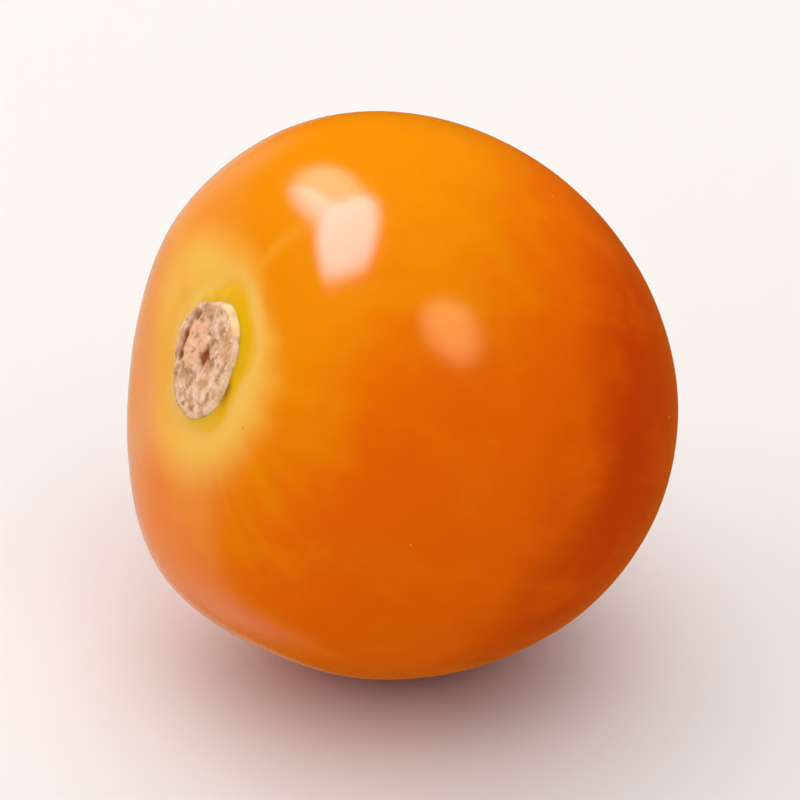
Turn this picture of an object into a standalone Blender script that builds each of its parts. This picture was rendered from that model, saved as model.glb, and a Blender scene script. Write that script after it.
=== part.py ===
"""A whole, bare physalis berry lying on its side.

The berry grew as one piece, so it is one solid: a round body that is flatter at its stem end, a corky
stem scar standing a little proud in a shallow basin there, and a tiny style scar at the other end.
It is turned about its stem axis first, then dented and lobed by formulas, laid on its side and given
the small flat spot that it rests on.

Units are metres, with +Z up. The origin is on the ground, below the middle of the berry's box.
"""

import math

import bpy
import numpy as np
from mathutils import Euler

# Driving dimensions.
EQUATOR_DIAMETER = 0.0200
REST_SPOT_RADIUS = 0.0020

# How the berry lies: its stem end points to -X, turned towards -Y and lifted from the ground.
STEM_TURN = math.radians(25.0)
STEM_LIFT = math.radians(25.0)

# The outline from the stem end to the style end is a circle blended into a flatter stem end, whose
# height is a share of the circle's radius. A higher sharpness turns the shoulder more tightly.
STEM_END_HEIGHT = 0.86
SHOULDER_SHARPNESS = 5.0

# Slight lobes round the stem axis: order, share of the radius and the direction of one crest.
LOBES = ((2, 0.023, math.radians(91.0)), (3, 0.021, math.radians(46.0)))

# The stem end's shallow basin, and the scar in it: a corky disc with an uneven edge, a moat round it
# and a pit in its middle.
BASIN_RADIUS = 0.0038
BASIN_DEPTH = 0.00022
SCAR_RADIUS = 0.0021
SCAR_HEIGHT = 0.00022
SCAR_EDGE_WIDTH = 0.00030
SCAR_EDGE_WAVES = ((2, 0.040, 0.6), (3, 0.030, -1.1), (7, 0.020, 0.4))
PIT_RADIUS = 0.00035
PIT_DEPTH = 0.00018
MOAT_DEPTH = 0.00010
MOAT_OFFSET = 0.00030
MOAT_WIDTH = 0.00045

# The style scar: a low nub in a faint dimple.
NUB_RADIUS = 0.00035
NUB_HEIGHT = 0.00010
DIMPLE_RADIUS = 0.0011
DIMPLE_DEPTH = 0.00008

# How finely the berry is turned.
TURN_STEPS = 72
SCAR_RINGS = 17
BODY_RINGS = 33
NUB_RINGS = 5
SCAR_RING_REACH = 0.0029
NUB_RING_REACH = 0.0012
MERGE_DISTANCE = 1e-6

BERRY_COLOUR = (0.72, 0.20, 0.004, 1.0)
BERRY_ROUGHNESS = 0.32


def clear_scene():
    """Remove every object that the scene starts with."""
    for thing in list(bpy.data.objects):
        bpy.data.objects.remove(thing, do_unlink=True)


def new_collection(name):
    """Make a collection in the scene."""
    collection = bpy.data.collections.new(name)
    bpy.context.scene.collection.children.link(collection)
    return collection


def outline_radius(angle):
    """The outline's radius at an angle from the stem end, in metres."""
    rise = np.maximum(np.cos(angle), 0.0) / STEM_END_HEIGHT
    return EQUATOR_DIAMETER / 2.0 * (1.0 + rise ** SHOULDER_SHARPNESS) ** (-1.0 / SHOULDER_SHARPNESS)


def ring_angles():
    """Angles from the stem end of the rings: fine over both scars, coarser in between."""
    stem = math.asin(SCAR_RING_REACH / outline_radius(0.0))
    style = math.pi - math.asin(NUB_RING_REACH / outline_radius(math.pi))
    return np.concatenate((
        np.linspace(0.0, stem, SCAR_RINGS, endpoint=False),
        np.linspace(stem, style, BODY_RINGS, endpoint=False),
        np.linspace(style, math.pi, NUB_RINGS),
    ))


def turned_berry(collection):
    """Turn the outline about the stem axis, with the stem end up, and return the new object."""
    angles = ring_angles()
    radii = outline_radius(angles)
    across = radii * np.sin(angles)
    across[0] = 0.0
    across[-1] = 0.0
    points = [(x, 0.0, z) for x, z in zip(across.tolist(), (radii * np.cos(angles)).tolist())]
    profile = bpy.data.meshes.new("berry_outline")
    profile.from_pydata(points, [(i, i + 1) for i in range(len(points) - 1)], [])
    berry = bpy.data.objects.new("berry", profile)
    collection.objects.link(berry)
    screw = berry.modifiers.new("turn", 'SCREW')
    screw.axis = 'Z'
    screw.angle = 2.0 * math.pi
    screw.steps = TURN_STEPS
    screw.render_steps = TURN_STEPS
    screw.use_merge_vertices = True
    screw.merge_threshold = MERGE_DISTANCE
    turned = bpy.data.meshes.new_from_object(berry.evaluated_get(bpy.context.evaluated_depsgraph_get()))
    berry.modifiers.clear()
    berry.data = turned
    bpy.data.meshes.remove(profile)
    return berry


def smooth_step(value):
    """0 below 0, 1 above 1, and an even S-curve in between."""
    value = np.clip(value, 0.0, 1.0)
    return value * value * (3.0 - 2.0 * value)


def bump(distance, width):
    """A rounded hump of height 1 that fades out at about twice its width."""
    return np.exp(-(distance / width) ** 2)


def lobe_factor(slope, around):
    """How much the lobes swell the berry, where slope is the sine of the angle from the stem end."""
    return 1.0 + sum(
        share * slope ** order * np.cos(order * (around - crest)) for order, share, crest in LOBES
    )


def scar_stretch(reach, around):
    """How much the rings near the stem scar are stretched outwards to follow its uneven edge."""
    waves = sum(share * np.cos(count * around + shift) for count, share, shift in SCAR_EDGE_WAVES)
    return 1.0 + waves * smooth_step(2.0 - reach / SCAR_RADIUS)


def scar_relief(reach):
    """Height of the basin, the scar and its moat, at a distance from the stem axis before the stretch."""
    disc = SCAR_HEIGHT * smooth_step((SCAR_RADIUS - reach) / SCAR_EDGE_WIDTH)
    moat = MOAT_DEPTH * bump(reach - SCAR_RADIUS - MOAT_OFFSET, MOAT_WIDTH)
    return disc - moat - PIT_DEPTH * bump(reach, PIT_RADIUS) - BASIN_DEPTH * bump(reach, BASIN_RADIUS)


def style_relief(reach):
    """Height of the style scar's nub and dimple, at a distance from the stem axis."""
    return NUB_HEIGHT * bump(reach, NUB_RADIUS) - DIMPLE_DEPTH * bump(reach, DIMPLE_RADIUS)


def shape_surface(berry):
    """Give the turned berry its lobes, its stem scar and its style scar."""
    mesh = berry.data
    points = np.empty(len(mesh.vertices) * 3)
    mesh.vertices.foreach_get("co", points)
    points = points.reshape(-1, 3)
    reach = np.hypot(points[:, 0], points[:, 1])
    around = np.arctan2(points[:, 1], points[:, 0])
    slope = reach / np.linalg.norm(points, axis=1)
    stem_half = points[:, 2] > 0.0
    points *= lobe_factor(slope, around)[:, None]
    points[:, :2] *= np.where(stem_half, scar_stretch(reach, around), 1.0)[:, None]
    points[:, 2] += np.where(stem_half, scar_relief(reach), -style_relief(reach))
    mesh.vertices.foreach_set("co", points.ravel())
    mesh.update()
    mesh.shade_smooth()


def lay_on_side(berry):
    """Tip the stem end over to -X, turn it and place the berry so that the ground cuts its rest spot."""
    berry.rotation_euler = Euler((0.0, STEM_LIFT - math.pi / 2.0, STEM_TURN))
    turn = np.array(berry.rotation_euler.to_matrix())
    points = np.empty(len(berry.data.vertices) * 3)
    berry.data.vertices.foreach_get("co", points)
    points = points.reshape(-1, 3) @ turn.T
    low = points.min(axis=0)
    high = points.max(axis=0)
    rest_depth = REST_SPOT_RADIUS ** 2 / EQUATOR_DIAMETER
    middle = (low + high) / 2.0
    berry.location = (-middle[0], -middle[1], -(low[2] + rest_depth))


def cut_rest_spot(berry, collection):
    """Cut away what lies below the ground, with a block whose top is the ground."""
    bpy.ops.mesh.primitive_cube_add(size=EQUATOR_DIAMETER, location=(0.0, 0.0, -EQUATOR_DIAMETER / 2.0))
    block = bpy.context.active_object
    block.name = "ground_cutter"
    for home in list(block.users_collection):
        home.objects.unlink(block)
    collection.objects.link(block)
    block.hide_render = True
    block.display_type = 'WIRE'
    cut = berry.modifiers.new("rest_spot", 'BOOLEAN')
    cut.operation = 'DIFFERENCE'
    cut.solver = 'EXACT'
    cut.object = block


def paint(berry):
    """Give the berry its ripe orange skin."""
    skin = bpy.data.materials.new("berry_skin")
    skin.use_nodes = True
    shader = skin.node_tree.nodes["Principled BSDF"]
    shader.inputs["Base Color"].default_value = BERRY_COLOUR
    shader.inputs["Roughness"].default_value = BERRY_ROUGHNESS
    shader.inputs["Metallic"].default_value = 0.0
    berry.data.materials.append(skin)


def main():
    """Build the berry."""
    clear_scene()
    berry = turned_berry(new_collection("physalis_berry"))
    shape_surface(berry)
    lay_on_side(berry)
    cut_rest_spot(berry, new_collection("cutters"))
    paint(berry)


if __name__ == "__main__":
    main()
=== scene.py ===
"""Dresses a whole ripe physalis berry that lies on its side.

Three pieces stand for the berry's solid: its skin, the corky stem scar that the husk's stalk left at its
flatter end, and the tiny style scar opposite. Each is a surface worked out with numpy from one shared
form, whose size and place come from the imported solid's box. Lengths are metres and +Z is up.
"""

from __future__ import annotations

import logging
import math
from dataclasses import dataclass, field
from enum import Enum

import bpy
import numpy as np
from bpy.types import Material, Node, NodeSocket as Socket, NodeTree as Tree, Object
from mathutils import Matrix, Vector


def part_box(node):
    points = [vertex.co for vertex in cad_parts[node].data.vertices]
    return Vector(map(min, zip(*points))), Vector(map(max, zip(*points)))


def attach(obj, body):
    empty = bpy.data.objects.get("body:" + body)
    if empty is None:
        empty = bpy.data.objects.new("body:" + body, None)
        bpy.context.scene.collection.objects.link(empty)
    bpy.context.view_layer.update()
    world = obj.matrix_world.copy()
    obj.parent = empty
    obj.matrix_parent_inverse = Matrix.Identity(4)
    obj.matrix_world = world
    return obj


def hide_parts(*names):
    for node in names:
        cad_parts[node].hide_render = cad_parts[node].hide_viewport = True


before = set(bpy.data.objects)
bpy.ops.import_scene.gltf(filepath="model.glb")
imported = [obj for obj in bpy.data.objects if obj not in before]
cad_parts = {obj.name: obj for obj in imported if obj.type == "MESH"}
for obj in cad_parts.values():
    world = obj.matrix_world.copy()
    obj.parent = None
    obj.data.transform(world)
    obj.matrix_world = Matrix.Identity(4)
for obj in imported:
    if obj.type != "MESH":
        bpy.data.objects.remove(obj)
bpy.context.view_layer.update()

MM = 0.001
LATTICE_SIDE = 32
LOG = logging.getLogger("physalis_berry")

Array = np.ndarray
Direction = tuple[float, float, float]
Colour = tuple[float, float, float, float]
Pair = tuple[float, float]

# Where a fade starts and ends; a wave's count of crests round the stem axis, their height and their
# place; and a bearing round the axis in degrees, how much it adds there, and its half width.
Band = tuple[float, float]
Wave = tuple[int, float, float]
Side = tuple[float, float, float]


class Slot(Enum):
    """The record's material slot names; this script gives them to no piece."""

    SKIN = "berry_skin"
    SCAR = "stem_scar"


class End(Enum):
    """The two ends of the berry's stem axis, as directions along it."""

    STEM = 1.0
    STYLE = -1.0


# ---- Small tools ----


def linear(hex_colour: str) -> Colour:
    """Turn an sRGB hex colour into the linear colour that a shader takes, by the sRGB standard's curve.

    Args:
        hex_colour: the colour as "#RRGGBB".

    Returns:
        Linear red, green, blue and an alpha of 1.
    """
    shares = [int(hex_colour[i:i + 2], 16) / 255.0 for i in (1, 3, 5)]
    channels = [c / 12.92 if c <= 0.04045 else ((c + 0.055) / 1.055) ** 2.4 for c in shares]
    return (*channels, 1.0)


def smooth_step(value: Array) -> Array:
    """Return 0 below 0, 1 above 1, and 3v^2 - 2v^3 in between."""
    value = np.clip(value, 0.0, 1.0)
    return value * value * (3.0 - 2.0 * value)


def bump(distance: Array, width: float) -> Array:
    """Return exp(-(distance / width)^2), a rounded hump of height 1."""
    return np.exp(-(distance / width) ** 2)


def turn_gap(around: Array, degrees: float) -> Array:
    """Return the shortest angle in degrees from a direction round the axis to the given one."""
    return (np.degrees(around) - degrees + 180.0) % 360.0 - 180.0


def bulge(around: Array, *sides: Side) -> Array:
    """Return the sum of one rounded hump for each side: its size times a bump across its bearing."""
    return sum(size * bump(turn_gap(around, bearing), span) for bearing, size, span in sides)


def value_noise(points: Array, cell: float, seed: int) -> Array:
    """Smooth noise from -1 to 1: random values on a cubic lattice, blended between its corners.

    Args:
        points: positions, with x, y and z in the last axis.
        cell: the lattice's spacing, in the same unit.
        seed: the random draw's seed.

    Returns:
        One value a point.
    """
    table = np.random.default_rng(seed).uniform(-1.0, 1.0, (LATTICE_SIDE,) * 3)
    place = points / cell
    corner = np.floor(place).astype(int)
    share = smooth_step(place - corner)
    total = np.zeros(points.shape[:-1])
    for step in np.ndindex(2, 2, 2):
        weight = np.prod(np.where(np.array(step) == 1, share, 1.0 - share), axis=-1)
        x, y, z = np.moveaxis((corner + np.array(step)) % LATTICE_SIDE, -1, 0)
        total += weight * table[x, y, z]
    return total


def layered_noise(points: Array, cell: float, seed: int, layers: int = 3) -> Array:
    """Sum value noise at halved cells and halved heights, kept to about -1 to 1."""
    heights = 0.5 ** np.arange(layers)
    parts = [heights[i] * value_noise(points, cell * 0.5 ** i, seed + i) for i in range(layers)]
    return sum(parts) / heights.sum()


def new_object(name: str, data: bpy.types.ID) -> Object:
    """Make an object from its mesh, light or camera, add it to the scene and return it."""
    thing = bpy.data.objects.new(name, data)
    bpy.context.scene.collection.objects.link(thing)
    return thing


def grid_piece(name: str, points: Array, attributes: dict[str, Array],
               material: Material) -> Object:
    """Make a closed, smooth piece from rows of points that run from one pole to the other.

    The first and the last row are each one point, taken from that row's first column. The rows in
    between close round, and the faces point outwards where the rows run from the stem end to the style
    end and the columns turn with the axis.

    Args:
        name: the piece's name.
        points: positions as rows x columns x 3, in metres.
        attributes: values for the points as rows x columns, or rows x columns x 3 for vectors.
        material: its one material.

    Returns:
        The new object, at the origin, with its place in its mesh.
    """
    rows, columns = points.shape[:2]

    def flat(values: Array) -> Array:
        """List a grid's values in the order of the mesh's points."""
        inner = values[1:-1].reshape(-1, *values.shape[2:])
        return np.concatenate((values[:1, 0], inner, values[-1:, 0]))

    ring = np.arange(columns)
    after = (ring + 1) % columns
    start = 1 + np.arange(rows - 3)[:, None] * columns
    quads = np.stack((start + ring, start + columns + ring, start + columns + after, start + after), -1)
    last_ring = 1 + (rows - 3) * columns
    last = last_ring + columns
    top_fan = np.stack((np.zeros_like(ring), 1 + ring, 1 + after), -1)
    foot_fan = np.stack((last_ring + ring, np.full_like(ring, last), last_ring + after), -1)
    mesh = bpy.data.meshes.new(name)
    faces = top_fan.tolist() + quads.reshape(-1, 4).tolist() + foot_fan.tolist()
    mesh.from_pydata(flat(points).tolist(), [], faces)
    for label, values in attributes.items():
        kind, key = ("FLOAT_VECTOR", "vector") if values.ndim == 3 else ("FLOAT", "value")
        layer = mesh.attributes.new(label, kind, "POINT")
        layer.data.foreach_set(key, flat(values).astype(np.float32).ravel())
    mesh.materials.append(material)
    mesh.shade_smooth()
    mesh.update()
    return new_object(name, mesh)


def add_node(tree: Tree, kind: str, inputs: dict | None = None, **settings: object) -> Node:
    """Add a node with its settings and links.

    Args:
        tree: the material's or world's node tree.
        kind: the node's type name, without the "ShaderNode" that they all start with.
        inputs: for an input's name or number, its value, or the output that it is linked to.
        settings: the node's own properties.

    Returns:
        The new node.
    """
    node = tree.nodes.new("ShaderNode" + kind)
    for name, value in settings.items():
        setattr(node, name, value)
    for name, value in (inputs or {}).items():
        if isinstance(value, Socket):
            tree.links.new(value, node.inputs[name])
        else:
            node.inputs[name].default_value = value
    return node


def graded(tree: Tree, value: Socket, run: Band, onto: Band = (0.0, 1.0),
           fade: str = "SMOOTHSTEP") -> Socket:
    """Map a value's run onto another range, held at that range's ends outside the run."""
    return add_node(tree, "MapRange", {0: value, 1: run[0], 2: run[1], 3: onto[0], 4: onto[1]},
                    interpolation_type=fade).outputs[0]


def blend(tree: Tree, share: Socket, below: Socket | Colour, above: Socket | Colour) -> Socket:
    """Lay one colour over another, as thick as the share says, and return the result's output."""
    return add_node(tree, "Mix", {0: share, 6: below, 7: above}, data_type="RGBA").outputs[2]


def noise(tree: Tree, place: Socket, scale: float, detail: float, roughness: float = 0.5) -> Socket:
    """Return the output of a noise texture with this many blotches a unit of length."""
    return add_node(tree, "TexNoise", {
        "Vector": place, "Scale": scale, "Detail": detail, "Roughness": roughness}).outputs["Fac"]


def own_value(tree: Tree, name: str) -> Socket:
    """Return the output of a value that the piece's points carry."""
    return add_node(tree, "Attribute", attribute_name=name).outputs["Fac"]


def new_tree(name: str) -> tuple[Material, Tree]:
    """Make a material with an empty node tree and return both."""
    material = bpy.data.materials.new(name)
    material.use_nodes = True
    material.node_tree.nodes.clear()
    return material, material.node_tree


# ---- The berry's form ----


@dataclass
class BerryForm:
    """The form that the skin and both scars share, with the stem end up in its own frame.

    The outline is a circle blended into a flatter stem end: its radius at an angle from the stem end is
    r (1 + (cos(angle) / height)^sharpness)^(-1 / sharpness). Slight lobes round the axis swell it by
    share * sin(angle)^order * cos(order * (around - crest)). The basin and the dimple are a width and a
    depth, and each swelling is a direction, a height and a half width in degrees.
    """

    low: Vector
    high: Vector
    stem_end_height: float = 0.86
    shoulder_sharpness: float = 5.0
    lobes: tuple[Wave, ...] = ((2, 0.023, 91.0), (3, 0.021, 46.0))
    stem_turn: float = 25.0
    stem_lift: float = 25.0
    rest_spot_radius: float = 2.0 * MM
    settle: float = 0.03 * MM
    basin: Pair = (3.8 * MM, 0.22 * MM)
    dimple: Pair = (1.1 * MM, 0.08 * MM)
    inset: float = 0.9988
    survey: tuple[int, int] = (241, 361)
    end_span: float = 60.0
    end_steps: int = 2001
    swellings: tuple[tuple[Direction, float, float], ...] = (
        ((-1.00, 0.00, 0.00), -0.30 * MM, 13.0),
        ((-0.80, 0.30, 0.52), 0.25 * MM, 15.0),
        ((-0.82, -0.29, -0.50), 0.20 * MM, 15.0),
        ((-0.42, -0.45, -0.79), -0.10 * MM, 14.0),
    )
    radius: float = field(init=False, default=1.0)
    middle: Array = field(init=False)

    def __post_init__(self) -> None:
        """Size and place the form so that it fills the solid's box, a hair inside it."""
        rows, columns = self.survey
        angle, around = np.meshgrid(
            np.linspace(0.0, np.pi, rows), np.linspace(0.0, 2.0 * np.pi, columns), indexing="ij")
        spread = self.outline(angle, around) @ self.turning().T
        least, most = spread.min(axis=(0, 1)), spread.max(axis=(0, 1))
        self.radius = (self.high.y - self.low.y) / (most[1] - least[1])
        centre = self.radius * (least + most) / 2.0
        rest_depth = self.rest_spot_radius ** 2 / (2.0 * self.radius)
        self.middle = np.array((
            (self.low.x + self.high.x) / 2.0 - centre[0],
            (self.low.y + self.high.y) / 2.0 - centre[1],
            self.low.z - rest_depth - self.radius * least[2],
        ))
        self.radius *= self.inset

    def turning(self) -> Array:
        """Return the matrix that tips the stem end over to -X, lifts it and turns it towards -Y."""
        tip = math.radians(self.stem_lift - 90.0)
        turn = math.radians(self.stem_turn)
        tipping = np.array(((math.cos(tip), 0.0, math.sin(tip)), (0.0, 1.0, 0.0),
                            (-math.sin(tip), 0.0, math.cos(tip))))
        turned = np.array(((math.cos(turn), -math.sin(turn), 0.0), (math.sin(turn), math.cos(turn), 0.0),
                           (0.0, 0.0, 1.0)))
        return turned @ tipping

    def outline(self, angle: Array, around: Array) -> Array:
        """Return the smooth body's points, without scars, in the berry's own frame.

        Args:
            angle: angles from the stem end, in radians.
            around: directions round the stem axis, in radians.

        Returns:
            Points in metres, with x, y and z in the last axis.
        """
        rise = np.maximum(np.cos(angle), 0.0) / self.stem_end_height
        reach = (1.0 + rise ** self.shoulder_sharpness) ** (-1.0 / self.shoulder_sharpness)
        swell = 1.0 + sum(share * np.sin(angle) ** order * np.cos(order * (around - math.radians(crest)))
                          for order, share, crest in self.lobes)
        direction = np.stack((np.sin(angle) * np.cos(around), np.sin(angle) * np.sin(around),
                              np.cos(angle)), axis=-1)
        return self.radius * (reach * swell)[..., None] * direction

    def angle_at(self, reach: float, end: End) -> float:
        """Return the angle from the stem end at which the outline is this far from the stem axis."""
        angles = np.linspace(0.0, math.radians(self.end_span), self.end_steps)
        if end is End.STYLE:
            angles = math.pi - angles
        distances = np.linalg.norm(self.outline(angles, np.zeros_like(angles))[:, :2], axis=-1)
        return float(np.interp(reach, distances, angles))

    def hollow(self, reach: Array, end: End) -> Array:
        """Return how deep the basin or the dimple is at a distance from the axis: one rounded hump."""
        width, depth = self.basin if end is End.STEM else self.dimple
        return depth * bump(reach, width)

    def swell(self, points: Array) -> Array:
        """Push points of the body in or out where its flesh swells, as one rounded hump each.

        Args:
            points: the outline's points, in the berry's own frame.

        Returns:
            The swollen points.
        """
        facing = points / np.linalg.norm(points, axis=-1, keepdims=True)
        rise = np.zeros(points.shape[:-1])
        for direction, height, spread in self.swellings:
            middle = np.array(direction) @ self.turning() / np.linalg.norm(direction)
            away = np.degrees(np.arccos(np.clip(facing @ middle, -1.0, 1.0)))
            rise = rise + height * bump(away, spread)
        return points + rise[..., None] * facing

    def lay(self, points: Array) -> Array:
        """Lay points of the berry's own frame on the ground, where the soft skin settles flat."""
        laid = points @ self.turning().T + self.middle
        ground = self.low.z
        above = laid[..., 2] - ground
        laid[..., 2] = ground + 0.5 * (above + np.sqrt(above ** 2 + self.settle ** 2))
        return laid


# ---- Finishes ----


@dataclass(frozen=True)
class RipeSkin:
    """Ripe physalis skin: a thin waxy cuticle, grown smooth over translucent orange flesh.

    It gives the eye a wet-looking gloss with soft highlight edges, light that glows through the flesh,
    a yellower stem end, a paler top that is partly painted light, a deeper side towards the style end
    that is partly painted shade, faint veins from end to end, and a pale yellow halo round the stem
    scar. Where mottling and veins show, the skin is less ripe by up to their paling.
    """

    name: str = "ripe_physalis_skin"
    ripe_orange: str = "#EC6A00"
    # The ramp's pale end also paints the top lighter as painted light, and its deep end paints shade
    # towards the style end.
    pale_and_lit_orange: str = "#F29100"
    deep_and_shaded_orange: str = "#C83A00"
    ray_yellow: str = "#F8AA30"
    halo_yellow: str = "#FFC24A"
    core_yellow: str = "#F8B400"
    # Painted shadow: the shade in the cleft under the stem scar's lower edge.
    crease_shadow_brown: str = "#8A4408"
    roughness: Band = (0.095, 0.14)
    gloss_run: Band = (0.3, 0.7)
    gloss_size: float = 1.1 * MM
    pebble_size: float = 0.35 * MM
    pebble_height: float = 0.010 * MM
    pebble_strength: float = 0.12
    refraction: float = 1.42
    glow_share: float = 0.7
    glow_depth: float = 1.4 * MM
    glow_spread: Direction = (1.0, 0.32, 0.08)
    mottle_size: float = 2.6 * MM
    mottle_run: Band = (0.40, 0.70)
    mottle_paling: float = 0.12
    vein_count: float = 2.6
    vein_stretch: float = 0.045
    vein_scale: float = 2.4
    vein_run: Band = (0.50, 0.75)
    vein_paling: float = 0.10
    pale_speck: str = "#F6C060"
    dark_speck: str = "#6E3208"
    pale_speck_share: float = 0.55
    speck_spacing: float = 1.7 * MM
    speck_radius: float = 0.055 * MM
    speck_core: float = 0.4
    speck_strength: float = 0.75

    def veins(self, tree: Tree) -> Socket:
        """Return the veins: noise stretched along the meridians, so that it runs from end to end."""
        meridian = add_node(tree, "Attribute", attribute_name="meridian").outputs["Vector"]
        stretched = add_node(tree, "VectorMath", {
            0: meridian, 1: (self.vein_count, self.vein_count, self.vein_stretch)},
            operation="MULTIPLY").outputs[0]
        return noise(tree, stretched, self.vein_scale, detail=4.0, roughness=0.55)

    def specks(self, tree: Tree, place: Socket, below: Socket) -> Socket:
        """Scatter sparse specks over a colour: breathing pores and bruised pinpoints, pale or dark.

        Args:
            tree: the skin's node tree.
            place: object coordinates.
            below: the colour so far.

        Returns:
            The speckled colour's output.
        """
        cells = add_node(tree, "TexVoronoi", {"Vector": place, "Scale": 1.0 / self.speck_spacing})
        edge = self.speck_radius / self.speck_spacing
        dot = graded(tree, cells.outputs["Distance"], (edge, self.speck_core * edge),
                     (0.0, self.speck_strength), "LINEAR")
        tone = add_node(tree, "SeparateColor", {0: cells.outputs["Color"]}).outputs[0]
        is_dark = add_node(tree, "Math", {0: tone, 1: self.pale_speck_share},
                           operation="GREATER_THAN").outputs[0]
        speck = blend(tree, is_dark, linear(self.pale_speck), linear(self.dark_speck))
        return blend(tree, dot, below, speck)

    def pigment(self, tree: Tree, place: Socket) -> Socket:
        """Build the skin's colour: ripeness, mottling, veins, the marks at the stem end and specks.

        Args:
            tree: the skin's node tree.
            place: object coordinates.

        Returns:
            The colour's output.
        """
        ripeness_and_painted_light = own_value(tree, "ripeness_and_painted_light")
        mottle = noise(tree, place, 1.0 / self.mottle_size, detail=3.0)
        for pattern, run, paling in ((mottle, self.mottle_run, self.mottle_paling),
                                     (self.veins(tree), self.vein_run, self.vein_paling)):
            shift = graded(tree, pattern, run, (0.0, paling))
            ripeness_and_painted_light = add_node(tree, "Math", {0: ripeness_and_painted_light, 1: shift}, operation="SUBTRACT").outputs[0]
        # The ramp carries painted light: paler on the top, deeper in painted shade towards the style
        # end.
        ripening = add_node(tree, "ValToRGB", {0: ripeness_and_painted_light})
        ramp = ripening.color_ramp
        ramp.interpolation = "EASE"
        ramp.elements[0].color = linear(self.pale_and_lit_orange)
        ramp.elements[1].color = linear(self.deep_and_shaded_orange)
        ramp.elements.new(0.5).color = linear(self.ripe_orange)
        colour = ripening.outputs[0]

        # The pale halo, the rays that it draws out, the yellow at the scar's edge, and painted shadow in
        # the cleft under the scar's lower edge.
        for mark, tint in (("halo", self.halo_yellow), ("ray", self.ray_yellow),
                           ("halo_core", self.core_yellow), ("crease_shadow", self.crease_shadow_brown)):
            colour = blend(tree, own_value(tree, mark), colour, linear(tint))
        return self.specks(tree, place, colour)

    def make(self) -> Material:
        """Build the skin's node tree and return its material."""
        material, tree = new_tree(self.name)
        place = add_node(tree, "TexCoord").outputs["Object"]

        # The cuticle: its gloss varies a little, and fine pebbling softens the highlights' edges.
        gloss = noise(tree, place, 1.0 / self.gloss_size, detail=2.0)
        pebble = noise(tree, place, 1.0 / self.pebble_size, detail=2.0)
        normal = add_node(tree, "Bump", {
            "Height": pebble, "Strength": self.pebble_strength, "Distance": self.pebble_height})
        shader = add_node(tree, "BsdfPrincipled", {
            "Base Color": self.pigment(tree, place), "Normal": normal.outputs[0], "IOR": self.refraction,
            "Roughness": graded(tree, gloss, self.gloss_run, self.roughness, "LINEAR"),
            "Subsurface Weight": self.glow_share, "Subsurface Radius": self.glow_spread,
            "Subsurface Scale": self.glow_depth})
        add_node(tree, "OutputMaterial", {0: shader.outputs[0]})
        return material


@dataclass(frozen=True)
class ScarCork:
    """Scar cork: dead, dry tissue that the plant grew where the stalk or the style broke away.

    It gives the eye a matt, crumbly disc of patchy tan and pink with olive-brown flecks, brown in its
    pits and cracks, and a paler torn lip whose cream is partly painted highlight along the raised edge.
    Its patches and flecks are scaled as blotches to one grain.
    """

    name: str = "dry_scar_cork"
    tan: str = "#D29F70"
    pink_tan: str = "#F0C8AC"
    olive: str = "#9A7846"
    stump_tan: str = "#F0B68C"
    pit_brown: str = "#8A4410"
    # Partly the torn lip's paler tissue, partly a painted highlight along its raised edge.
    lip_cream_highlight: str = "#FFDC9C"
    roughness: float = 0.85
    refraction: float = 1.4
    grain: float = 0.16 * MM
    patch_scale: float = 0.36
    patch_run: Band = (0.4, 0.6)
    fleck_scale: float = 0.42
    fleck_run: Band = (0.52, 0.64)
    fleck_share: float = 0.75
    fleck_height: float = 0.04 * MM
    fleck_relief: float = 0.6

    def make(self) -> Material:
        """Build the cork's node tree and return its material."""
        material, tree = new_tree(self.name)
        place = add_node(tree, "TexCoord").outputs["Object"]
        patch = noise(tree, place, self.patch_scale / self.grain, detail=3.0)
        fleck = noise(tree, place, self.fleck_scale / self.grain, detail=4.0, roughness=0.6)
        patches = graded(tree, patch, self.patch_run, fade="LINEAR")
        flecks = graded(tree, fleck, self.fleck_run, (0.0, self.fleck_share))
        colour = blend(tree, patches, linear(self.tan), linear(self.pink_tan))
        # The lip's cream is partly a painted highlight along the scar's raised edge.
        for share, tint in ((own_value(tree, "stump"), self.stump_tan), (flecks, self.olive),
                            (own_value(tree, "pit"), self.pit_brown),
                            (own_value(tree, "lip"), self.lip_cream_highlight)):
            colour = blend(tree, share, colour, linear(tint))
        normal = add_node(tree, "Bump", {
            "Height": fleck, "Strength": self.fleck_relief, "Distance": self.fleck_height}).outputs[0]
        shader = add_node(tree, "BsdfPrincipled", {
            "Base Color": colour, "Roughness": self.roughness, "Normal": normal, "IOR": self.refraction})
        add_node(tree, "OutputMaterial", {0: shader.outputs[0]})
        return material


@dataclass(frozen=True)
class PaleFloor:
    """A pale painted board: matt, even and almost white."""

    name: str = "pale_painted_board"
    colour: str = "#E2E1DE"
    roughness: float = 0.7

    def make(self) -> Material:
        """Build the floor's material."""
        material, tree = new_tree(self.name)
        shader = add_node(tree, "BsdfPrincipled", {
            "Base Color": linear(self.colour), "Roughness": self.roughness})
        add_node(tree, "OutputMaterial", {0: shader.outputs[0]})
        return material


# ---- The berry's pieces ----


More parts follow.
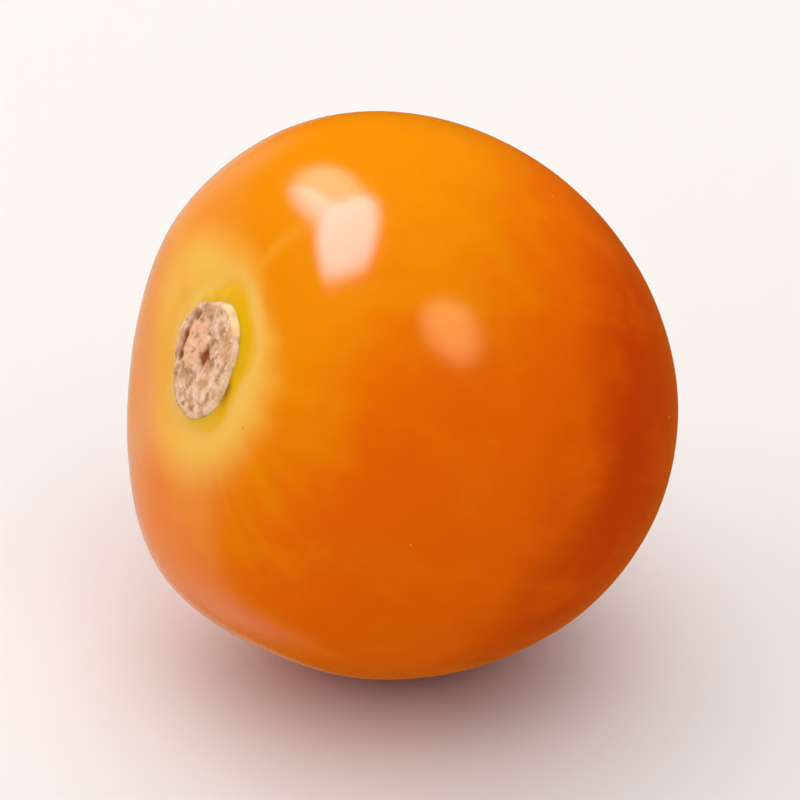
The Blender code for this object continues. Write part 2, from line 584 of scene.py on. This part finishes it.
@dataclass
class Scar:
    """A corky scar at one end of the stem axis: a disc with an uneven edge, sunk into the skin.

    Its edge's waves are shares of the radius, shifted in radians. The underside's rings have their reach
    as shares of the radius, and their depth as shares of the root.
    """

    form: BerryForm
    end: End
    name: str
    radius: float
    height: float
    edge_width: float
    edge_waves: tuple[Wave, ...]
    root: float
    crumb: float
    crumb_height: float
    seed: int
    raggedness: float = 0.025
    ragged_cell: float = 0.22
    hollow_brown: float = 0.7
    hollow_start: float = 0.25
    hollow_fade: float = 0.4
    underside_reach: tuple[float, ...] = (1.0, 0.93, 0.5, 0.0)
    underside_depth: tuple[float, ...] = (0.6, 1.0, 1.0, 1.0)
    columns: int = 300
    rows: int = 90

    def stretch(self, around: Array) -> Array:
        """Return the edge's distance from the axis in each direction, as a share of the radius.

        Args:
            around: directions round the stem axis, in radians.

        Returns:
            1 plus a few broad waves and a ragged noise round the circle.
        """
        waves = sum(share * np.cos(count * around + shift) for count, share, shift in self.edge_waves)
        circle = np.stack((np.cos(around), np.sin(around), np.zeros_like(around)), axis=-1)
        return 1.0 + waves + self.raggedness * layered_noise(circle, self.ragged_cell, self.seed + 90, 3)

    def spread(self, reach: Array, around: Array) -> Array:
        """Return how much rings at this reach are stretched outwards to follow the uneven edge."""
        return 1.0 + (self.stretch(around) - 1.0) * smooth_step(2.0 - reach / self.radius)

    def relief(self, points: Array, reach: Array) -> Array:
        """Return the cork's rise above its flat disc: crumbs, less the hollow that it lies in."""
        crumbs = layered_noise(points, self.crumb, self.seed)
        return self.crumb_height * crumbs - self.form.hollow(reach, self.end)

    def marks(self, points: Array, reach: Array) -> dict[str, Array]:
        """Return how brown, stump-like and lip-coloured each point is, from 0 to 1: brown between the
        crumbs.
        """
        crumbs = layered_noise(points, self.crumb, self.seed)
        brown = self.hollow_brown * smooth_step((-crumbs - self.hollow_start) / self.hollow_fade)
        return {"pit": brown, "stump": np.zeros_like(reach), "lip": np.zeros_like(reach)}

    def build(self, material: Material) -> Object:
        """Make the scar's closed mesh: its crumbly top, its edge and a plain underside in the flesh.

        The rows run from the middle out to the edge, down into the flesh and back to the middle.

        Args:
            material: the cork.

        Returns:
            The finished piece.
        """
        share = np.concatenate((np.linspace(0.0, 1.0, self.rows), self.underside_reach))
        sunk = np.concatenate((np.zeros(self.rows), self.underside_depth))
        edge_angle = self.form.angle_at(self.radius, self.end)
        start = 0.0 if self.end is End.STEM else math.pi
        angle = start + (edge_angle - start) * share
        turn = np.linspace(0.0, 2.0 * np.pi, self.columns, endpoint=False)
        if self.end is End.STYLE:
            turn = turn[::-1]
        angles, around = np.meshgrid(angle, turn, indexing="ij")
        reach = np.broadcast_to((share * self.radius)[:, None], angles.shape)
        points = self.form.swell(self.form.outline(angles, around))
        points[..., :2] *= self.spread(reach, around)[..., None]
        edge = smooth_step((1.0 - share) * self.radius / self.edge_width) * (sunk == 0.0)
        rim = self.form.hollow(self.radius, self.end)
        rise = edge[:, None] * (self.height + rim + self.relief(points, reach))
        marks = self.marks(points, reach)
        points[..., 2] += self.end.value * (rise - rim - self.root * sunk[:, None])
        return grid_piece(self.name, self.form.lay(points), marks, material)


@dataclass
class StemScar(Scar):
    """The stem scar: an inner stump half ringed by a crack, a pit beside it and a torn lip, pale partly
    from its tissue and partly from painted highlight.

    Each pit is a bearing round the stump in degrees and its size as a share of the largest. Gaps and
    tears are a mean and the share of noise added to it.
    """

    stump_place: Pair = (0.33 * MM, 0.62 * MM)
    stump_radius: float = 0.78 * MM
    stump_stretch: float = 1.5
    stump_fade: float = 0.2 * MM
    stump_share: float = 0.75
    crack_middle: float = 92.0
    crack_span: float = 56.0
    crack_width: float = 0.115 * MM
    crack_depth: float = 0.055 * MM
    crack_least: float = 0.36
    crack_wander: float = 0.10 * MM
    wander_cell: float = 0.40 * MM
    crack_whole: float = 0.85
    crack_cell: float = 0.45 * MM
    pits: tuple[Pair, ...] = ((-98.0, 1.0), (134.0, 0.50), (52.0, 0.60), (94.0, 0.45))
    pit_radius: float = 0.30 * MM
    pit_depth: float = 0.10 * MM
    pit_raggedness: float = 0.5
    pit_cell: float = 0.25 * MM
    fissure_cell: float = 0.30 * MM
    fissure_depth: float = 0.03 * MM
    fissure_width: float = 0.09
    fissure_gaps: Pair = (0.2, 1.6)
    lip_sides: tuple[Side, ...] = ((-20.0, 1.0, 30.0), (-95.0, 0.35, 40.0))
    lip_height: float = 0.09 * MM
    lip_reach: float = 0.96
    lip_width: float = 0.075
    lip_cell: float = 0.35 * MM
    lip_tears: Pair = (0.75, 0.5)
    browns: tuple[float, ...] = (0.5, 0.75, 1.2, 0.22)

    def from_stump(self, points: Array) -> tuple[Array, Array]:
        """Return each point's distance and direction from the oval stump's middle, drawn out round."""
        x = (points[..., 0] - self.stump_place[0]) / self.stump_stretch
        y = points[..., 1] - self.stump_place[1]
        return np.hypot(x, y), np.arctan2(y, x)

    def crack(self, points: Array) -> Array:
        """Return the crack: a hump across the stump's edge, deep on its far side and faint beside it."""
        away, bearing = self.from_stump(points)
        wander = self.crack_wander * value_noise(points, self.wander_cell, self.seed + 40)
        ring = bump(away - self.stump_radius + wander, self.crack_width)
        side = np.exp(-(turn_gap(bearing, self.crack_middle) / self.crack_span) ** 4)
        broken = smooth_step(self.crack_whole + value_noise(points, self.crack_cell, self.seed + 41))
        return ring * (self.crack_least + (1.0 - self.crack_least) * side) * broken

    def hole(self, points: Array) -> Array:
        """Return the pit where the stalk's core pulled out, and smaller ones along the crack.

        Each is exp(-(distance / radius)^4), its distance made ragged by noise.
        """
        total = np.zeros(points.shape[:-1])
        ragged = 1.0 + self.pit_raggedness * value_noise(points, self.pit_cell, self.seed + 42)
        for bearing, share in self.pits:
            turn = math.radians(bearing)
            across = self.stump_stretch * self.stump_radius * math.cos(turn)
            x = points[..., 0] - self.stump_place[0] - across
            y = points[..., 1] - self.stump_place[1] - self.stump_radius * math.sin(turn)
            total += share * np.exp(-(np.hypot(x, y) * ragged / (share * self.pit_radius)) ** 4)
        return total

    def fissures(self, points: Array) -> Array:
        """Return thin cracks, broken here and there: the lines along which smooth noise crosses zero."""
        wavy = layered_noise(points, self.fissure_cell, self.seed + 50, 2)
        mean, swing = self.fissure_gaps
        broken = smooth_step(mean + swing * value_noise(points, self.fissure_cell, self.seed + 55))
        return smooth_step(1.0 - np.abs(wavy) / self.fissure_width) * broken

    def lip(self, points: Array, reach: Array) -> Array:
        """Return the torn lip: a ragged hump along the edge, high on one side and low on the next; its
        cream is partly painted highlight.
        """
        around = np.arctan2(points[..., 1], points[..., 0])
        mean, swing = self.lip_tears
        torn = mean + swing * value_noise(points, self.lip_cell, self.seed + 60)
        along = np.clip(bulge(around, *self.lip_sides) * torn, 0.0, 1.0)
        return along * bump(reach - self.lip_reach * self.radius, self.lip_width * self.radius)

    def relief(self, points: Array, reach: Array) -> Array:
        """Return the cork's rise: crumbs and the lip, less the cracks and pits."""
        rise = super().relief(points, reach) + self.lip_height * self.lip(points, reach)
        sunk = self.crack_depth * self.crack(points) + self.pit_depth * self.hole(points)
        return rise - sunk - self.fissure_depth * self.fissures(points)

    def marks(self, points: Array, reach: Array) -> dict[str, Array]:
        """Return how brown, stump-like and lip-coloured each point is, from 0 to 1; the lip's cream is
        partly painted highlight.

        The browns say how much the hollows, the crack, the pits and the fissures add, in that order.
        """
        hollows = super().marks(points, reach)["pit"]
        found = (hollows, self.crack(points), self.hole(points), self.fissures(points))
        brown = sum(share * mark for share, mark in zip(self.browns, found))
        away, _ = self.from_stump(points)
        stump = self.stump_share * smooth_step((self.stump_radius - away) / self.stump_fade)
        return {"pit": np.clip(brown, 0.0, 1.0), "stump": stump, "lip": self.lip(points, reach)}


@dataclass(frozen=True)
class StemHalo:
    """The marks that the skin bears round the stem scar, as shares from 0 to 1.

    The halo fades out at a reach that wavers round the scar and is frayed into fine fibres. Two rays
    leave it along meridians. The core hugs the scar's edge, wider on some sides than on others, and the
    crease shadow is painted shade: a brown mark for the shadow in the cleft under the scar's lower
    edge. The core's and the crease shadow's own sizes are in millimetres. Half of the halo's fade lies
    on each side of its reach.
    """

    reach: float = 3.85 * MM
    fade: float = 2.3 * MM
    strength: float = 0.92
    bulges: tuple[Side, ...] = ((60.0, 0.22, 30.0), (-92.0, 0.13, 28.0), (-30.0, -0.10, 25.0))
    sharp_side: Side = (-25.0, 0.5, 30.0)
    weak_side: Side = (125.0, 0.36, 48.0)
    waver: float = 0.07
    waver_cell: float = 0.6
    waver_length: float = 6.0 * MM
    fibre_cell: float = 0.16
    fibre_length: float = 30.0 * MM
    fraying: float = 0.03
    frayed_side: Side = (-105.0, 0.15, 35.0)
    rays: tuple[Side, ...] = ((-9.0, 0.45, 3.4), (64.0, 0.40, 6.0))
    ray_reach: float = 7.5 * MM
    ray_fade: float = 0.35
    ray_drift: float = 6.0
    drift_cell: float = 0.4
    core_strength: float = 0.95
    core_width: float = 0.12
    core_fade: float = 0.50
    core_lead: float = 0.3
    core_sides: tuple[Side, ...] = ((115.0, -0.45, 60.0), (6.0, 0.62, 24.0), (-64.0, 0.80, 22.0),
                                    (-126.0, 0.42, 26.0))
    # Where the painted shadow under the scar's lower edge lies, how far out it sits and how wide it is.
    crease_side: Side = (-94.0, 0.75, 13.0)
    crease_offset: float = 0.06
    crease_width: float = 0.16
    seed: int = 71

    def marks(self, arc: Array, around: Array, edge: Array) -> dict[str, Array]:
        """Return how strongly the halo, its rays, its core and the painted crease shadow show at each
        point.

        Args:
            arc: the way along the skin from the stem axis, in metres.
            around: directions round the stem axis, in radians.
            edge: how far the scar's edge is from the axis in each direction, in metres.

        Returns:
            One grid of shares for each mark.
        """
        circle = np.stack((np.cos(around), np.sin(around), arc / self.waver_length), axis=-1)
        fibres = np.stack((np.cos(around), np.sin(around), arc / self.fibre_length), axis=-1)
        frayed = self.fraying + bulge(around, self.frayed_side)
        waver = 1.0 + bulge(around, *self.bulges)
        waver = waver + self.waver * layered_noise(circle, self.waver_cell, self.seed, 2)
        waver = waver + frayed * layered_noise(fibres, self.fibre_cell, self.seed + 2, 2)
        fade = self.fade * (1.0 - bulge(around, self.sharp_side))
        halo = smooth_step((self.reach * waver - arc) / fade + 0.5)
        halo = halo * (self.strength - bulge(around, self.weak_side))

        drift = np.radians(self.ray_drift * value_noise(circle, self.drift_cell, self.seed + 4))
        faded = smooth_step((self.ray_reach - arc) / (self.ray_fade * self.ray_reach))
        ray = bulge(around + drift, *self.rays) * faded

        beside = (arc - edge) / MM
        width = self.core_width + bulge(around, *self.core_sides)
        outwards = (beside - width) / self.core_fade + self.core_lead
        core = self.core_strength * (1.0 - smooth_step(outwards))
        # The crease shadow is painted shade in the cleft under the scar's lower edge.
        crease_shadow = bulge(around, self.crease_side) * bump(beside - self.crease_offset, self.crease_width)
        return {"halo": halo, "ray": ray, "halo_core": core, "crease_shadow": crease_shadow}


@dataclass
class BerrySkin:
    """The whole skin: the form with its basin, the moat round the stem scar and faint unevenness.

    Each ripeness-and-light side is the direction that it faces, how much it adds to the ripeness, and
    the two cosines between which it sets in; the paler top is partly painted light and the deeper side
    towards the style end partly painted shade. Each of the unevenness's waves is its cell, its share
    and its seed.
    """

    form: BerryForm
    stem_scar: StemScar
    style_scar: Scar
    stem_halo: StemHalo = StemHalo()
    moat_offset: float = 0.62 * MM
    moat_width: float = 0.52 * MM
    moat_depth: float = 0.11 * MM
    bed_reach: float = 0.92
    bed_fade: float = 0.15
    unevenness: float = 0.018 * MM
    waves: tuple[tuple[float, float, int], ...] = ((3.1 * MM, 1.0, 11), (1.3 * MM, 0.35, 12))
    even_ripeness: float = 0.5
    ripeness_drift: float = 0.05
    drift_cell: float = 4.0 * MM
    drift_seed: int = 81
    # The first side's paler share is partly painted light on the top; the last side's deeper share is
    # partly painted shade towards the style end.
    ripeness_and_light_sides: tuple[tuple[Direction, float, float, float], ...] = (
        ((-0.35, 0.25, 0.90), -0.50, 0.00, 1.00),
        ((-0.82, -0.38, 0.42), -0.42, 0.47, 0.92),
        ((-0.62, -0.45, -0.65), -0.20, 0.72, 1.00),
        ((0.82, 0.38, -0.42), 0.50, -0.24, 0.55),
    )
    columns: int = 360
    fine_rows: int = 90
    coarse_rows: int = 170
    fine_span: float = 32.0

    def rows(self) -> Array:
        """Return the rows' angles from the stem end: fine over the halo, coarser on the rest."""
        fine = math.radians(self.fine_span)
        stem = np.linspace(0.0, fine, self.fine_rows, endpoint=False)
        rest = np.linspace(fine, math.pi, self.coarse_rows)
        return np.concatenate((stem, rest))

    def relief(self, reach: Array, end: End) -> Array:
        """Return the skin's shift along the axis, down into the hollow, the moat and the scar's bed."""
        scar = self.stem_scar if end is End.STEM else self.style_scar
        beside = reach - scar.radius - self.moat_offset
        moat = self.moat_depth * bump(beside, self.moat_width) if end is End.STEM else 0.0
        inwards = (self.bed_reach * scar.radius - reach) / (self.bed_fade * scar.radius)
        bed = scar.root * smooth_step(inwards)
        return -end.value * (self.form.hollow(reach, end) + moat + bed)

    def ripeness_and_painted_light(self, body: Array) -> Array:
        """Return how ripe each side is, with painted light and shade: 0 where it is palest, 0.5 on most
        of it, 1 at the deepest.

        Each side adds its share where the surface faces it, from one cosine to another. The paler top is
        partly painted light, and the deeper side towards the style end partly painted shade.
        """
        facing = body @ self.form.turning().T / self.form.radius
        drift = layered_noise(body, self.drift_cell, self.drift_seed, 2)
        ripe = self.even_ripeness + self.ripeness_drift * drift
        for side, share, start, end in self.ripeness_and_light_sides:
            cosine = facing @ np.array(side) / np.linalg.norm(side)
            ripe = ripe + share * smooth_step((cosine - start) / (end - start))
        return np.clip(ripe, 0.0, 1.0)

    def build(self, material: Material) -> Object:
        """Make the skin's closed mesh and the attributes that its finish reads.

        Args:
            material: the ripe skin.

        Returns:
            The finished piece.
        """
        angles, around = np.meshgrid(self.rows(), np.linspace(0.0, 2.0 * np.pi, self.columns, False),
                                     indexing="ij")
        body = self.form.outline(angles, around)
        reach = np.linalg.norm(body[..., :2], axis=-1)
        stem_half = np.cos(angles) > 0.0
        step = np.linalg.norm(np.diff(body, axis=0), axis=-1)
        arc = np.concatenate((np.zeros((1, self.columns)), np.cumsum(step, axis=0)))
        outward = body / np.linalg.norm(body, axis=-1, keepdims=True)
        waves = sum(share * value_noise(body, cell, seed) for cell, share, seed in self.waves)
        points = self.form.swell(body) - self.unevenness * (1.0 + waves)[..., None] * outward
        points[..., :2] *= np.where(stem_half, self.stem_scar.spread(reach, around), 1.0)[..., None]
        shift = np.where(stem_half, self.relief(reach, End.STEM), self.relief(reach, End.STYLE))
        points[..., 2] += shift
        edge = self.stem_scar.radius * self.stem_scar.stretch(around)
        attributes = {
            "meridian": np.stack((np.cos(around), np.sin(around), arc / MM), axis=-1),
            "ripeness_and_painted_light": self.ripeness_and_painted_light(body),
            **self.stem_halo.marks(arc, around, edge),
        }
        return grid_piece("berry_skin", self.form.lay(points), attributes, material)


@dataclass
class PhysalisBerry:
    """The whole berry: its skin and both scars, riding on the solid's one body."""

    form: BerryForm

    def build(self) -> None:
        """Build the three pieces and tie them to the frame."""
        cork = ScarCork().make()
        withered = ScarCork("withered_style_cork", tan="#96582C", pink_tan="#A8683C", olive="#6C4220",
                            grain=0.08 * MM).make()
        stem = StemScar(
            self.form, End.STEM, "stem_scar", radius=2.03 * MM, height=0.10 * MM, edge_width=0.14 * MM,
            root=0.35 * MM, crumb=0.30 * MM, crumb_height=0.08 * MM, seed=5,
            edge_waves=((1, 0.069, 0.75), (2, 0.024, -0.43), (3, 0.028, 1.8), (4, 0.026, 1.53),
                        (7, 0.012, 0.4)))
        style = Scar(
            self.form, End.STYLE, "style_scar", radius=0.38 * MM, height=0.07 * MM, edge_width=0.12 * MM,
            root=0.15 * MM, crumb=0.12 * MM, crumb_height=0.02 * MM, seed=9, columns=96, rows=24,
            edge_waves=((2, 0.08, 0.3), (5, 0.05, 1.0)))
        skin = BerrySkin(self.form, stem, style).build(RipeSkin().make())
        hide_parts("berry")
        pieces = [skin, stem.build(cork), style.build(withered)]
        for piece in pieces:
            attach(piece, "root")
            LOG.info("%s: %d faces", piece.name, len(piece.data.polygons))


# ---- The studio ----


@dataclass(frozen=True)
class Softbox:
    """A large soft light that fills the scene and that the gloss doesn't mirror.

    Its direction runs from the berry's middle to the light, its spread is the angle that it spans as
    the berry sees it, and its glow is the radiance of its face.
    """

    name: str
    direction: Direction
    glow: float
    spread: float = 60.0
    distance: float = 0.40

    def build(self, target: Vector) -> None:
        """Make the light, aimed at the target."""
        light = bpy.data.lights.new(self.name, "AREA")
        light.shape = "DISK"
        light.size = 2.0 * self.distance * math.tan(math.radians(self.spread) / 2.0)
        light.energy = self.glow * math.pi * math.pi * light.size ** 2 / 4.0
        holder = new_object(self.name, light)
        back = Vector(self.direction).normalized()
        holder.location = target + self.distance * back
        holder.rotation_euler = back.to_track_quat("Z", "Y").to_euler()
        holder.visible_glossy = False


@dataclass(frozen=True)
class GlintPanel:
    """A glowing panel that only the gloss mirrors, so it draws one highlight and lights nothing.

    Its outline is a rounded, slanted and tapered rectangle: middle + across * c + along * s *
    (1 + taper * c), where c and s are a circle's cosine and sine, each raised to 2 / squareness with its
    sign kept. All three vectors are directions from the berry's middle, so the panel keeps its look at
    any distance. Where panels overlap, their glows add up.
    """

    name: str
    middle: Direction
    across: Direction
    along: Direction
    glow: float
    tint: str
    taper: float
    softness: float
    squareness: float = 2.0
    distance: float = 0.40
    points: int = 48

    def shine(self) -> Material:
        """Return the panel's glow, which fades out over its soft edge."""
        material, tree = new_tree(self.name + "_glow")
        strength = graded(tree, own_value(tree, "inside"), (0.0, self.softness), (0.0, self.glow))
        glow = add_node(tree, "Emission", {"Color": linear(self.tint), "Strength": strength})
        clear = add_node(tree, "BsdfTransparent")
        both = add_node(tree, "AddShader", {0: glow.outputs[0], 1: clear.outputs[0]})
        add_node(tree, "OutputMaterial", {0: both.outputs[0]})
        return material

    def build(self, target: Vector) -> None:
        """Make the panel's face, as a fan of triangles round its middle."""
        turn = np.linspace(0.0, 2.0 * np.pi, self.points, endpoint=False)
        wide, tall = (np.sign(side) * np.abs(side) ** (2.0 / self.squareness)
                      for side in (np.cos(turn), np.sin(turn)))
        tall = tall * (1.0 + self.taper * wide)
        rim = self.middle + np.outer(wide, self.across) + np.outer(tall, self.along)
        outline = np.vstack((self.middle, rim))
        ring = np.arange(self.points)
        fan = np.stack((np.zeros_like(ring), 1 + ring, 1 + (ring + 1) % self.points), axis=-1)
        mesh = bpy.data.meshes.new(self.name)
        mesh.from_pydata((np.array(target) + self.distance * outline).tolist(), [], fan.tolist())
        inside = mesh.attributes.new("inside", "FLOAT", "POINT")
        inside.data.foreach_set("value", [1.0] + [0.0] * self.points)
        mesh.materials.append(self.shine())
        panel = new_object(self.name, mesh)
        for kind in ("camera", "diffuse", "transmission", "volume_scatter", "shadow"):
            setattr(panel, "visible_" + kind, False)


@dataclass
class Studio:
    """A pale floor, a dim even surround, soft lights and the camera.

    Each side of the mirrored wall glows between two cosines to a direction, and so does its end.
    """

    form: BerryForm
    backdrop: str = "#F0EFEC"
    surround: str = "#9C9C9C"
    mirrored_shade: str = "#B4641E"
    mirrored_wall: str = "#FFF2E6"
    wall_glow: float = 0.66
    wall_sides: tuple[tuple[Direction, Band], ...] = (
        ((-1.0, 0.0, 0.0), (0.15, 0.50)),
        ((0.0, 1.0, 0.0), (0.05, 0.32)),
        ((0.0, 0.0, -1.0), (-0.32, 0.03)),
    )
    wall_end: tuple[Direction, Band] = ((-0.42, 0.80, -0.43), (0.89, 0.97))
    floor_width: float = 3.0
    floor_gap: float = 0.01 * MM
    camera_distance: float = 0.26
    camera_elevation: float = 30.0
    camera_clip: Band = (0.01, 20.0)
    sensor_width: float = 36.0
    berry_share: float = 0.70
    softboxes: tuple[Softbox, ...] = (
        Softbox("back_softbox", (0.0, 0.85, 0.50), glow=1.92),
        Softbox("overhead_softbox", (0.35, -0.45, 0.82), glow=1.08),
        Softbox("top_softbox", (0.0, 0.0, 1.0), glow=0.89),
        Softbox("left_softbox", (-0.90, 0.20, 0.40), glow=0.88),
        Softbox("front_softbox", (-0.70, -0.50, 0.50), glow=0.53),
    )
    panels: tuple[GlintPanel, ...] = (
        GlintPanel(
            "window_glint", middle=(-0.526, 0.306, 0.794), across=(0.282, -0.009, 0.190),
            along=(0.141, 0.265, -0.009), glow=12.6, tint="#FFE8FF", taper=0.28, softness=0.42,
            squareness=3.1),
        GlintPanel(
            "window_toe_glint", middle=(-0.569, 0.509, 0.646), across=(0.147, -0.036, 0.158),
            along=(0.023, 0.107, -0.064), glow=8.0, tint="#FFE8FF", taper=-0.90, softness=0.75),
        GlintPanel(
            "window_cap_glint", middle=(-0.415, 0.585, 0.687), across=(0.210, -0.153, 0.267),
            along=(0.172, 0.113, 0.010), glow=6.7, tint="#FFE0CC", taper=-0.43, softness=0.75),
        GlintPanel(
            "front_glint", middle=(0.276, -0.367, 0.888), across=(0.370, -0.026, -0.125),
            along=(0.015, 0.288, 0.114), glow=5.7, tint="#FFE2A8", taper=0.22, softness=0.60),
    )

    def target(self) -> Vector:
        """Return the middle of the berry's box."""
        return (self.form.low + self.form.high) / 2.0

    def lay_floor(self) -> None:
        """Lay the floor just under the berry's rest spot."""
        half = self.floor_width / 2.0
        mesh = bpy.data.meshes.new("studio_floor")
        depth = self.form.low.z - self.floor_gap
        corners = [(x * half, y * half, depth) for x, y in ((-1, -1), (1, -1), (1, 1), (-1, 1))]
        mesh.from_pydata(corners, [], [(0, 1, 2, 3)])
        mesh.materials.append(PaleFloor().make())
        floor = new_object("studio_floor", mesh)
        floor.visible_glossy = False

    def glow_towards(self, tree: Tree, side: tuple[Direction, Band]) -> Socket:
        """Return how far each mirrored direction is within one side's glow, from 0 to 1."""
        axis, run = side
        direction = add_node(tree, "TexCoord").outputs["Generated"]
        cosine = add_node(tree, "VectorMath", {0: direction, 1: Vector(axis).normalized()},
                          operation="DOT_PRODUCT").outputs["Value"]
        return graded(tree, cosine, run)

    def wall_share(self, tree: Tree) -> Socket:
        """Return how much of the wall is mirrored in each direction.

        The wall glows low at the back of the stem end's side, where three gradients overlap: across the
        scene, towards its back and downwards. Its end is a round glow behind the stem end, which only
        that end's rim mirrors.
        """
        share = 1.0
        for side in self.wall_sides:
            share = add_node(tree, "Math", {0: self.glow_towards(tree, side), 1: share},
                             operation="MULTIPLY").outputs[0]
        return add_node(tree, "Math", {0: self.glow_towards(tree, self.wall_end), 1: share},
                        operation="MAXIMUM").outputs[0]

    def surround_light(self) -> None:
        """Set an even fill, a pale backdrop, and a wall and a shade that only the gloss mirrors."""
        world = bpy.data.worlds.new("studio_surround")
        world.use_nodes = True
        tree = world.node_tree
        tree.nodes.clear()
        wall = tuple(self.wall_glow * channel for channel in linear(self.mirrored_wall)[:3])
        mirrored = blend(tree, self.wall_share(tree), linear(self.mirrored_shade), (*wall, 1.0))
        ray = add_node(tree, "LightPath")
        seen = blend(tree, ray.outputs["Is Glossy Ray"], linear(self.surround), mirrored)
        seen = blend(tree, ray.outputs["Is Camera Ray"], seen, linear(self.backdrop))
        glow = add_node(tree, "Background", {0: seen})
        add_node(tree, "OutputWorld", {0: glow.outputs[0]})
        bpy.context.scene.world = world

    def set_camera(self) -> None:
        """Place a long-lensed camera that looks along +Y and down at the berry."""
        data = bpy.data.cameras.new("studio_camera")
        data.sensor_width = self.sensor_width
        span = (self.form.high - self.form.low).z / self.berry_share
        data.lens = data.sensor_width * self.camera_distance / span
        data.clip_start, data.clip_end = self.camera_clip
        camera = new_object("studio_camera", data)
        lift = math.radians(self.camera_elevation)
        back = Vector((0.0, -math.cos(lift), math.sin(lift)))
        camera.location = self.target() + self.camera_distance * back
        camera.rotation_euler = (math.pi / 2.0 - lift, 0.0, 0.0)
        bpy.context.scene.camera = camera

    def build(self) -> None:
        """Build the studio and keep its colours true, without a film curve."""
        self.lay_floor()
        self.surround_light()
        for source in (*self.softboxes, *self.panels):
            source.build(self.target())
        self.set_camera()
        bpy.context.scene.view_settings.view_transform = "Standard"


def main() -> None:
    """Build the berry and its studio."""
    logging.basicConfig(level=logging.INFO, format="%(name)s: %(message)s")
    form = BerryForm(*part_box("berry"))
    PhysalisBerry(form).build()
    Studio(form).build()


if __name__ == "__main__":
    main()
